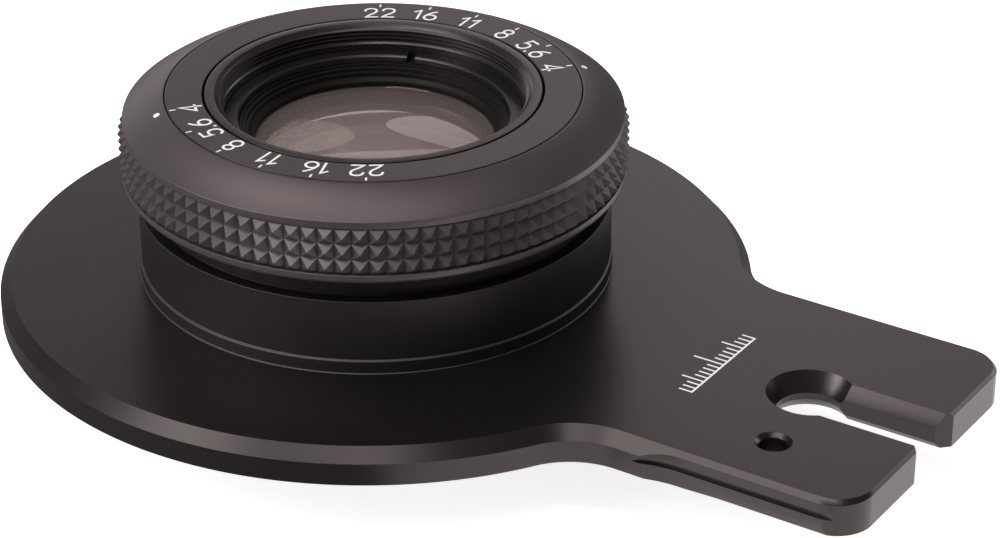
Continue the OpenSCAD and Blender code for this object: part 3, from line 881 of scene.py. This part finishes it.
STROKE = 0.34                                   # width of a numeral's line
STROKE_STEP = 0.004                             # keeps crossing lines apart in height
NUMERAL_H, NUMERAL_R = 2.8, 24.1
TICK_R, TICK_WIDTH = (26.15, 26.75), 0.26


def curve_points(points, steps=8):
    """A smooth run through quadratic arcs: start, bend, end, bend, end and so on."""
    out = [points[0]]
    for i in range(0, len(points) - 2, 2):
        a, b, c = (Vector(p) for p in points[i:i + 3])
        for k in range(1, steps + 1):
            t = k / steps
            out.append(tuple((1 - t) ** 2 * a + 2 * t * (1 - t) * b + t * t * c))
    return out


def numeral_strokes(sign):
    """Width of a sign and its engraved strokes, for a height of 1."""
    if sign == "1":
        return 0.3, [[(0.02, 0.78), (0.27, 1.0), (0.27, 0.0)]]
    if sign == "2":
        return 0.58, [curve_points([(0.02, 0.74), (0.04, 1.0), (0.29, 1.0), (0.56, 1.0),
                                    (0.56, 0.73), (0.56, 0.55), (0.36, 0.38),
                                    (0.14, 0.2), (0.02, 0.0)]) + [(0.58, 0.0)]]
    if sign == "4":
        return 0.64, [[(0.46, 0.0), (0.46, 1.0), (0.0, 0.28), (0.64, 0.28)]]
    if sign == "5":
        return 0.56, [[(0.52, 1.0), (0.1, 1.0), (0.06, 0.56)]
                      + curve_points([(0.06, 0.56), (0.16, 0.64), (0.28, 0.64),
                                      (0.56, 0.63), (0.56, 0.32), (0.55, 0.0),
                                      (0.27, 0.0), (0.06, 0.0), (0.0, 0.16)])[1:]]
    if sign == "6":
        return 0.6, [curve_points([(0.44, 1.0), (0.08, 0.72), (0.01, 0.3)]),
                     arc(0.3, 0.3, 0.29, 0, 360, 24)]
    if sign == "8":
        return 0.6, [arc(0.3, 0.77, 0.23, 0, 360, 24), arc(0.3, 0.27, 0.29, 0, 360, 24)]
    return 0.08, [[(0.04, 0.0), (0.04, 0.06)]]


def stroke_mesh(points, width, low, high):
    """A flat line with round ends through the points; a run back to its start is a ring."""
    ring = (Vector(points[0]) - Vector(points[-1])).length < 1e-6
    if ring:
        points = points[:-1]
    count = len(points)
    pts = [Vector(p) for p in points]
    verts, faces = [], []
    for i, p in enumerate(pts):
        before = p - pts[i - 1] if ring or i else pts[1] - p
        after = pts[(i + 1) % count] - p if ring or i < count - 1 else p - pts[i - 1]
        n0 = Vector((-before.y, before.x)).normalized()
        n1 = Vector((-after.y, after.x)).normalized()
        side = (n0 + n1).normalized()
        side *= width / 2 / max(0.5, side.dot(n0))
        for q, z in ((p + side, high), (p - side, high), (p - side, low), (p + side, low)):
            verts.append((q.x, q.y, z))
    for i in range(count if ring else count - 1):
        a, b = 4 * i, 4 * ((i + 1) % count)
        for k in range(4):
            m = (k + 1) % 4
            faces.append((a + k, a + m, b + m, b + k))
    if not ring:
        for i, way in ((0, -1), (count - 1, 1)):
            p = pts[i]
            left = Vector(verts[4 * i][:2]) - p
            base = len(verts)
            for z in (high, low):
                for k in range(1, 6):
                    t = -way * math.pi * k / 6
                    verts.append((p.x + left.x * math.cos(t) - left.y * math.sin(t),
                                  p.y + left.x * math.sin(t) + left.y * math.cos(t), z))
            top = [4 * i] + list(range(base, base + 5)) + [4 * i + 1]
            bottom = [4 * i + 3] + list(range(base + 5, base + 10)) + [4 * i + 2]
            faces += [tuple(top), tuple(reversed(bottom))]
            faces += [(top[k], bottom[k], bottom[k + 1], top[k + 1]) for k in range(6)]
    part = mesh_object("stroke", verts, faces)
    tidy(part)
    return part


def ring_numeral(words, height, radius, azimuth, low, high):
    """Numerals bent round the optical axis, their tops outwards."""
    glyphs = [numeral_strokes(sign) for sign in words]
    space = 0.26
    total = sum(w for w, strokes in glyphs) + space * (len(glyphs) - 1)
    parts, x = [], -total / 2
    for w, strokes in glyphs:
        for k, line in enumerate(strokes):
            bent = []
            for u, v in line:
                a = math.radians(azimuth) - (x + u) * height / radius
                r = radius + (v - 0.5) * height
                bent.append((r * math.cos(a), r * math.sin(a)))
            parts.append(stroke_mesh(bent, STROKE, low, high + STROKE_STEP * k))
        x += w + space
    return parts


def join(name, parts):
    """One object from several meshes that lie in place."""
    bm = bmesh.new()
    for part in parts:
        bm.from_mesh(part.data)
        bpy.data.objects.remove(part)
    mesh = bpy.data.meshes.new(name)
    bm.to_mesh(mesh)
    bm.free()
    obj = bpy.data.objects.new(name, mesh)
    bpy.context.scene.collection.objects.link(obj)
    return obj


def make_scales(mats):
    """Two opposite aperture scales on the name ring, numerals and short radial lines."""
    parts = []
    low, high = FRONT_Z - 0.035, FRONT_Z - 0.012
    for start in (DOT_AZIMUTH, DOT_AZIMUTH + 180):
        for i, words in enumerate(SCALE):
            azimuth = start + i * CLICK_STEP
            parts += ring_numeral(words, NUMERAL_H, NUMERAL_R, azimuth, low, high)
            tick = stroke_mesh([(TICK_R[0], 0), (TICK_R[1], 0)], TICK_WIDTH, low, high)
            parts.append(placed(tick, turn=azimuth))
    scales = join("aperture_scales", parts)
    finish_piece(scales, mats["white_paint"], "lens_body", "white_paint")


def make_tab_graduation(mats):
    """A centring graduation across the tab: a tick each millimetre, longer at 5 and 0."""
    low, high = BOARD_T - 0.02, BOARD_T + 0.004
    foot, half, reach = -53.0, 0.14, 8
    parts = []
    for x in range(-reach, reach + 1):
        end = foot + (4.2 if x == 0 else 3.0 if x % 5 == 0 else 1.7)
        parts.append(box_object("tick", (x - half, foot, low), (x + half, end, high)))
    edge = reach + half
    parts.append(box_object("rule", (-edge, foot - 2 * half, low), (edge, foot, high)))
    marks = join("tab_graduation", parts)
    finish_piece(marks, mats["white_paint"], "lens_body", "white_paint")


# ---- the rest of the CAD nodes ------------------------------------------------------


def dress_cad_nodes(mats):
    """Every node that keeps its CAD shape gets its slot's material."""
    slots = {row["node"]: row["material_slot"] for row in frame["record"]["subparts"]}
    for name, obj in frame["nodes"].items():
        obj.data.materials.clear()
        obj.data.materials.append(mats[slots[name]])


# ---- floor and light ----------------------------------------------------------------


FLOOR_HALF = 3000
CARD_X, CARD_Y = (-60, 200), (-500, -40)        # a part of the floor, near the tab
WARM = (1, 0.91, 0.92)                          # the studio's slightly rosy light
LIGHT_DISTANCE = 1.5                            # in metres
LIGHTS = [              # name, azimuth, elevation, width and height, watts, colour
    ("back low", -165, 12, (1.7, 0.47), 2.2, WARM),
    ("back high", 180, 38, (0.85, 0.57), 0.2, WARM),
    ("back right", 168, 27, (0.6, 0.45), 0.65, WARM),
    ("left low", -70, 9, (0.85, 0.45), 17, (1, 1, 1)),
    ("left high", -60, 36, (0.85, 0.6), 6, (1, 1, 1)),
    ("left back", -120, 64, (0.8, 0.62), 4.6, WARM),
    ("top", 0, 88, (0.85, 0.85), 4.6, WARM),
    ("right back", 120, 12, (0.85, 0.47), 3, (1, 1, 1)),
    ("front strip", -32, 58, (1.6, 0.25), 9, (1, 1, 1)),
]


def flat(name, xs, ys, z):
    """One level rectangle."""
    (x0, x1), (y0, y1) = xs, ys
    return mesh_object(name, [(x0, y0, z), (x1, y0, z), (x1, y1, z), (x0, y1, z)],
                       [(0, 1, 2, 3)])


def make_floor():
    whole = (-FLOOR_HALF, FLOOR_HALF)
    floor = flat("floor", whole, whole, REAR_Z)
    card = flat("floor_card", CARD_X, CARD_Y, REAR_Z + 0.02)
    m = Nodes("floor")
    m.link(m.blend(m.noise(6), (0.9, 0.9, 0.9), (0.93, 0.93, 0.93)),
           m.bsdf.inputs["Base Color"])
    m.value("Roughness", 0.9)
    m.value("Emission Color", (1, 1, 1, 1))
    m.value("Emission Strength", 0.75)
    for obj in (floor, card):
        obj.data.materials.append(m.mat)
    floor.visible_glossy = False        # only the card near the tab shows in reflections


def area_light(name, place, size, power, colour):
    """A soft oval light that faces the origin."""
    light = bpy.data.lights.new(name, "AREA")
    light.shape = "ELLIPSE"
    light.size, light.size_y = size
    light.energy = power
    light.color = colour
    obj = bpy.data.objects.new(name, light)
    bpy.context.scene.collection.objects.link(obj)
    obj.location = place
    obj.rotation_mode = "QUATERNION"
    obj.rotation_quaternion = (-place).to_track_quat("-Z", "Y")
    return obj


def around(azimuth, elevation, distance):
    """A point round the object; azimuth counts from the camera's side, to its right."""
    a = CAMERA_AZIMUTH + math.radians(azimuth)
    e = math.radians(elevation)
    return Vector((math.sin(a) * math.cos(e), -math.cos(a) * math.cos(e),
                   math.sin(e))) * distance


def make_light():
    world = bpy.data.worlds.new("studio")
    bpy.context.scene.world = world
    world.use_nodes = True
    back = world.node_tree.nodes["Background"]
    back.inputs["Color"].default_value = (*WARM, 1)
    back.inputs["Strength"].default_value = 0.2
    for name, azimuth, elevation, size, power, colour in LIGHTS:
        place = around(azimuth, elevation, LIGHT_DISTANCE)
        area_light(name, place, size, power, colour)
    view = bpy.context.scene.view_settings
    view.view_transform = "Standard"


# ---- all of it ----------------------------------------------------------------------

make_camera()
materials = make_materials()
dress_cad_nodes(materials)
make_board(materials)
make_barrel(materials)
make_name_ring(materials)
make_front_cell(materials)
make_retaining_ring(materials)
make_baffle(materials)
make_jam_nut(materials)
make_rear_cell(materials)
make_rear_lock_ring(materials)
make_glass(materials)
make_aperture_ring(materials)
make_index_dots(materials)
make_scales(materials)
make_tab_graduation(materials)
make_floor()
make_light()
